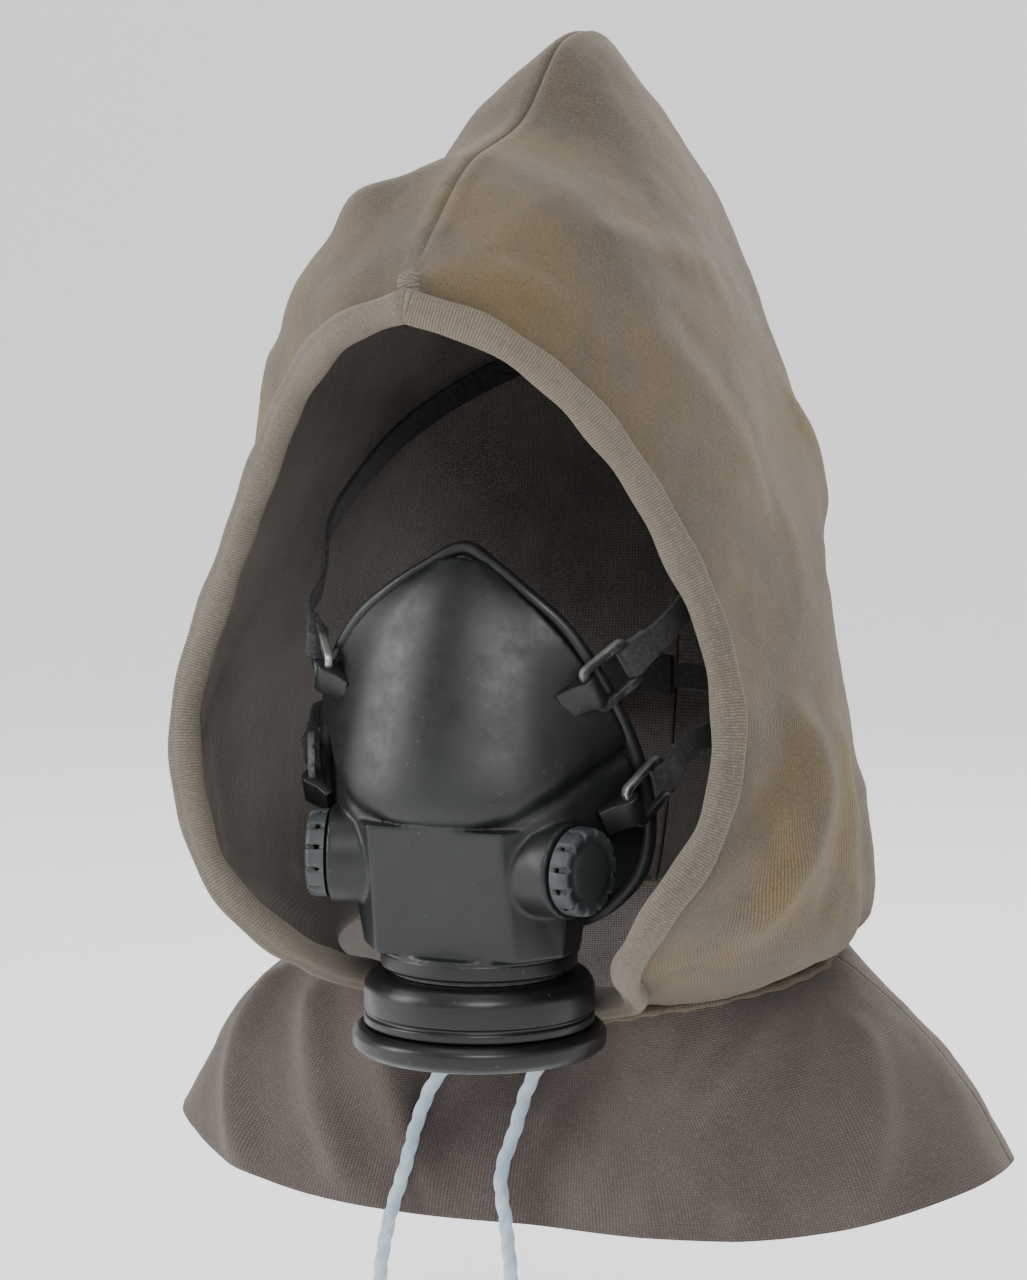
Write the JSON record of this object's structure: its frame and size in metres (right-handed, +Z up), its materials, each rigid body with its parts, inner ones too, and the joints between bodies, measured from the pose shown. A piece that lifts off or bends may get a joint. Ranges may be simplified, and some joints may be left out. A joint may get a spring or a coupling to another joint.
{
  "type": "smoke hood",
  "caption": "Pointed knitted hood with a rolled face hem, bib and drawstrings, over a rubber half mask with side valves, buckled head straps and a bottom canister.",
  "frame": {"origin": "middle of the wearer's head at eye height", "axes": "+Z up, the wearer faces -Y, +X is the wearer's left"},
  "size_m": [0.3122, 0.2627, 0.5205],
  "materials": {
    "knit_cloth": "fine ribbed knit, worn",
    "hem_cloth": "knit, rolled and sewn",
    "twisted_cord": "twisted cotton",
    "eyelet_steel": "rolled steel",
    "moulded_rubber": "semi-matt moulded rubber",
    "valve_cover_plastic": "worn matt plastic",
    "valve_rubber": "thin soft rubber",
    "canister_plastic": "satin black",
    "filter_pad": "pressed fibre",
    "carbon_grain": "packed carbon grain",
    "harness_plastic": "matt black",
    "buckle_metal": "black paint worn to bare metal at the edges",
    "strap_webbing": "elastic webbing"
  },
  "bodies": {
    "hood": {"hood_left_panel": "knit_cloth", "hood_right_panel": "knit_cloth", "face_hem": "hem_cloth", "neck_seam": "hem_cloth", "bib_front": "knit_cloth", "bib_back": "knit_cloth", "eyelet_left": "eyelet_steel", "eyelet_right": "eyelet_steel", "drawstring_left": "twisted_cord", "drawstring_right": "twisted_cord", "drawstring_knot_left": "twisted_cord", "drawstring_knot_right": "twisted_cord", "head_cradle": "harness_plastic", "neck_clasp": "harness_plastic", "strap_upper_left": "strap_webbing", "strap_lower_left": "strap_webbing", "strap_upper_right": "strap_webbing", "strap_lower_right": "strap_webbing"},
    "facepiece": {"facepiece_shell": "moulded_rubber", "face_seal": "moulded_rubber", "front_housing": "moulded_rubber", "housing_neck": "moulded_rubber", "neck_spigot": "moulded_rubber", "inhale_valve_seat": "harness_plastic", "valve_boss_left": "moulded_rubber", "valve_boss_right": "moulded_rubber", "lug_upper_left": "moulded_rubber", "lug_upper_right": "moulded_rubber", "lug_lower_left": "moulded_rubber", "lug_lower_right": "moulded_rubber"},
    "inhale_flap": {"inhale_valve_disc": "valve_rubber"},
    "gasket": {"neck_gasket": "valve_rubber"},
    "canister": {"canister_drum": "canister_plastic", "particle_filter": "filter_pad", "carbon_bed": "carbon_grain"},
    "inlet_cap": {"canister_cap": "canister_plastic"},
    "exhale_flap_left": {"exhale_disc_left": "valve_rubber"},
    "valve_cover_left": {"valve_cover_left": "valve_cover_plastic"},
    "buckle_upper_left": {"buckle_upper_left": "buckle_metal", "strap_loop_upper_left": "strap_webbing"},
    "buckle_lower_left": {"buckle_lower_left": "buckle_metal", "strap_loop_lower_left": "strap_webbing"},
    "exhale_flap_right": {"exhale_disc_right": "valve_rubber"},
    "valve_cover_right": {"valve_cover_right": "valve_cover_plastic"},
    "buckle_upper_right": {"buckle_upper_right": "buckle_metal", "strap_loop_upper_right": "strap_webbing"},
    "buckle_lower_right": {"buckle_lower_right": "buckle_metal", "strap_loop_lower_right": "strap_webbing"}
  },
  "joints": [
    {"name": "mask_pull", "type": "slide", "parent": "hood", "child": "facepiece", "axis": [0, -1, 0], "range_m": [0, 0.025]},
    {"name": "inhale_lift", "type": "slide", "parent": "facepiece", "child": "inhale_flap", "axis": [0, 0, 1], "range_m": [0, 0.0015]},
    {"name": "canister_travel", "type": "slide", "parent": "facepiece", "child": "gasket", "axis": [0, 0, -1], "range_m": [0, 0.0121]},
    {"name": "canister_turn", "type": "hinge", "parent": "gasket", "child": "canister", "pos_m": [0, -0.085, -0.15], "axis": [0, 0, 1], "range_deg": [0, 1080]},
    {"name": "cap_pull", "type": "slide", "parent": "canister", "child": "inlet_cap", "axis": [0, 0, -1], "range_m": [0, 0.01]},
    {"name": "exhale_lift_left", "type": "slide", "parent": "facepiece", "child": "exhale_flap_left", "axis": [-0.9613, -0.2756, 0], "range_m": [0, 0.0015]},
    {"name": "cover_turn_left", "type": "hinge", "parent": "facepiece", "child": "valve_cover_left", "pos_m": [-0.051, -0.111, -0.099], "axis": [-0.9613, -0.2756, 0], "range_deg": [0, 45]},
    {"name": "buckle_tilt_upper_left", "type": "hinge", "parent": "facepiece", "child": "buckle_upper_left", "pos_m": [-0.04749, -0.10338, -0.04027], "axis": [0.3141, -0.4402, 0.8411], "range_deg": [0, 20]},
    {"name": "buckle_tilt_lower_left", "type": "hinge", "parent": "facepiece", "child": "buckle_lower_left", "pos_m": [-0.05745, -0.09216, -0.08004], "axis": [0.1391, -0.55, 0.8235], "range_deg": [0, 20]},
    {"name": "exhale_lift_right", "type": "slide", "parent": "facepiece", "child": "exhale_flap_right", "axis": [0.9613, -0.2756, 0], "range_m": [0, 0.0015]},
    {"name": "cover_turn_right", "type": "hinge", "parent": "facepiece", "child": "valve_cover_right", "pos_m": [0.051, -0.111, -0.099], "axis": [0.9613, -0.2756, 0], "range_deg": [0, 45]},
    {"name": "buckle_tilt_upper_right", "type": "hinge", "parent": "facepiece", "child": "buckle_upper_right", "pos_m": [0.04749, -0.10338, -0.04027], "axis": [0.3141, 0.4402, -0.8411], "range_deg": [0, 20]},
    {"name": "buckle_tilt_lower_right", "type": "hinge", "parent": "facepiece", "child": "buckle_lower_right", "pos_m": [0.05745, -0.09216, -0.08004], "axis": [0.1391, 0.55, -0.8235], "range_deg": [0, 20]}
  ],
  "couplings": [
    {"joint": "canister_travel", "follows": "canister_turn", "m_per_rad": 0.00063662}
  ]
}
